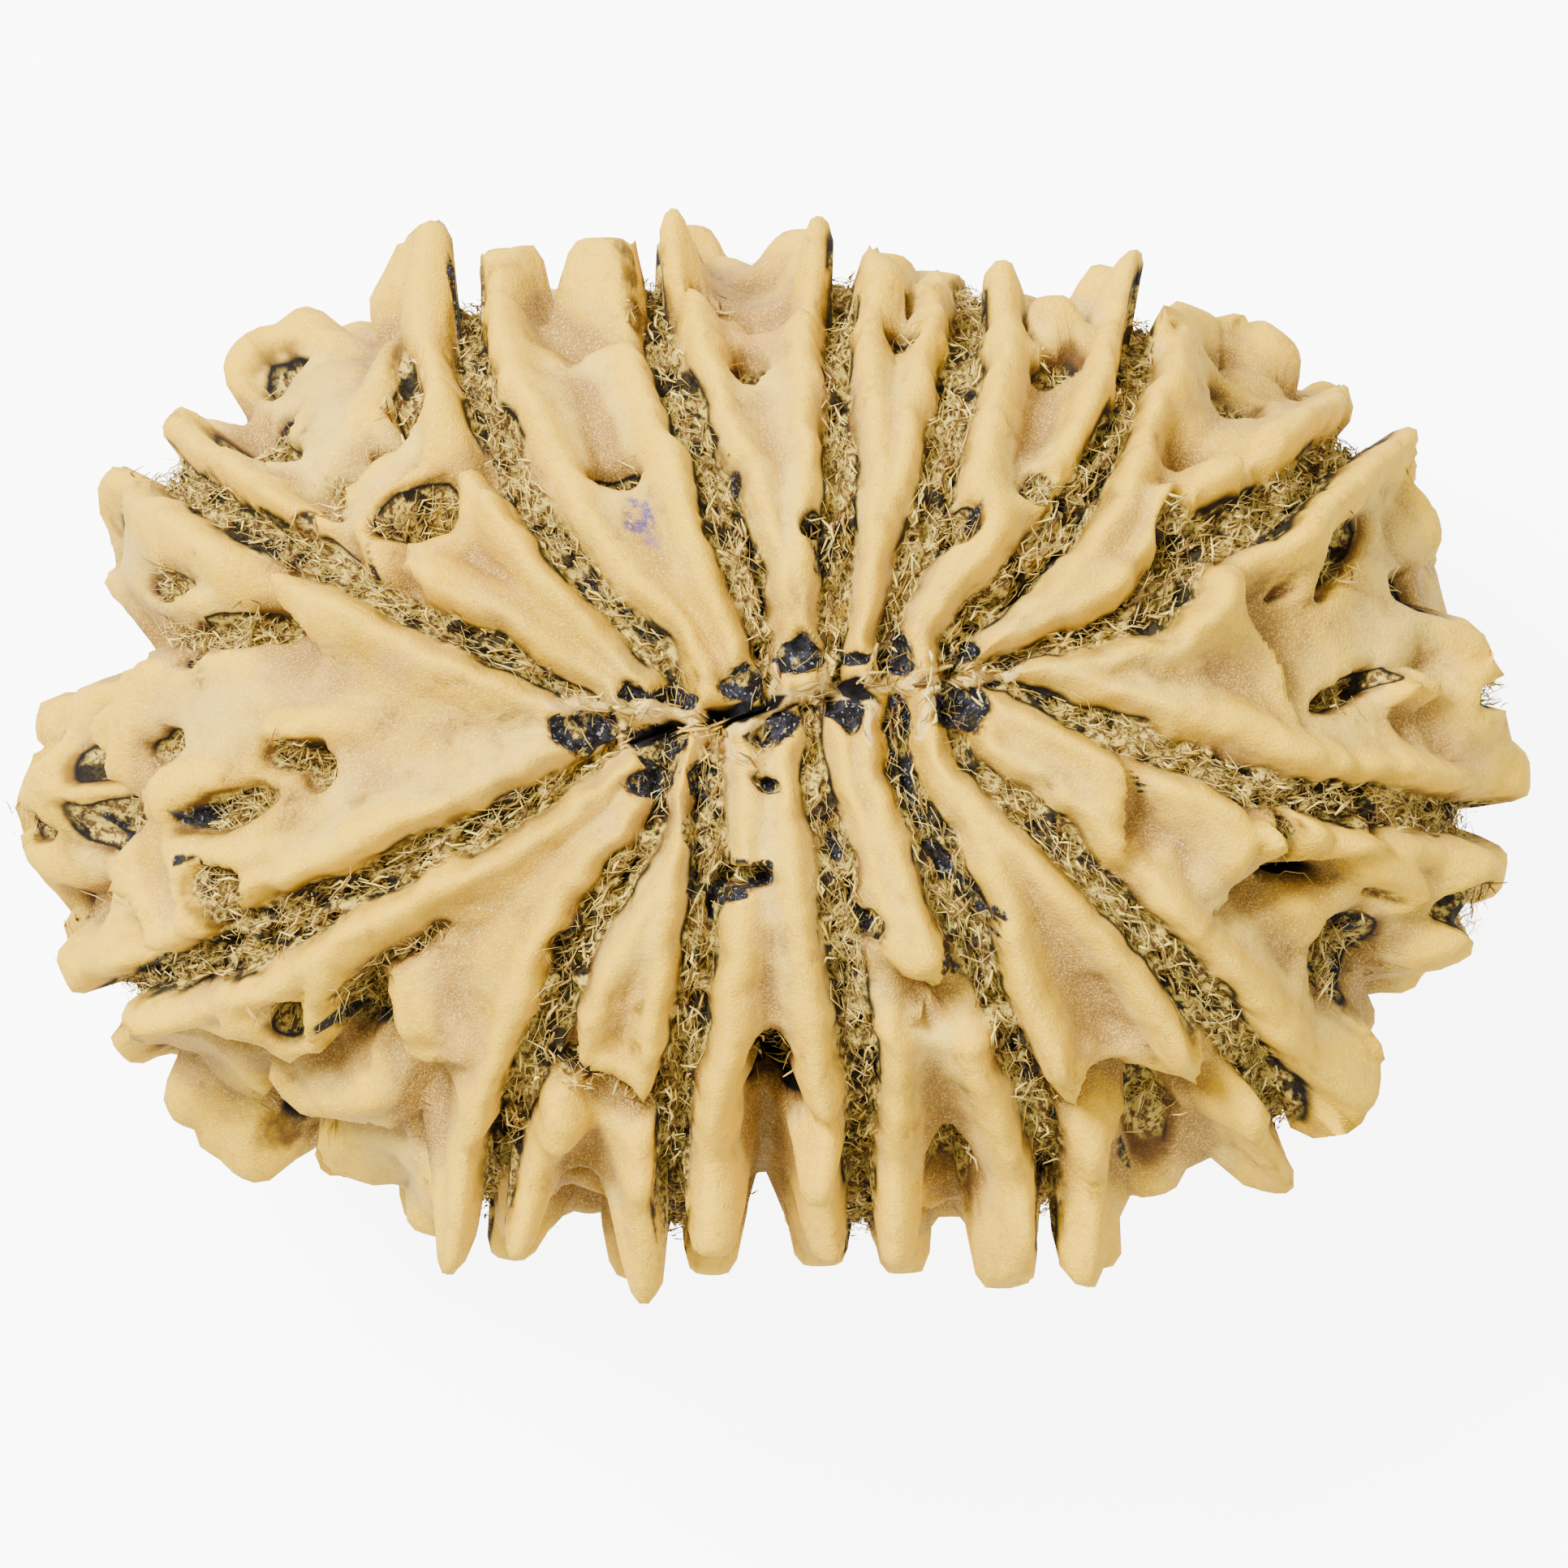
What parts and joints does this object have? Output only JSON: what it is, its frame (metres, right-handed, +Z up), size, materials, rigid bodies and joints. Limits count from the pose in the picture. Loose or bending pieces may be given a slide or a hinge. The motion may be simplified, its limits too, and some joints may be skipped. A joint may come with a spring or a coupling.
{
  "type": "rudraksha bead",
  "caption": "Dried thorny stone of the rudraksha fruit, undrilled: ribbed lobes with pits and blunt spines, parted by deep furrows that run from pole to pole.",
  "frame": {"origin": "bottom centre of the bead, in the plane of the blunted crests it rests on", "axes": "+X along the longest side, which is also the way the seams at the poles run; +Z up the polar axis"},
  "size_m": [0.03, 0.0214, 0.0191],
  "materials": {
    "bead": "matte"
  },
  "bodies": {
    "root": {"bead": "bead"}
  },
  "joints": []
}
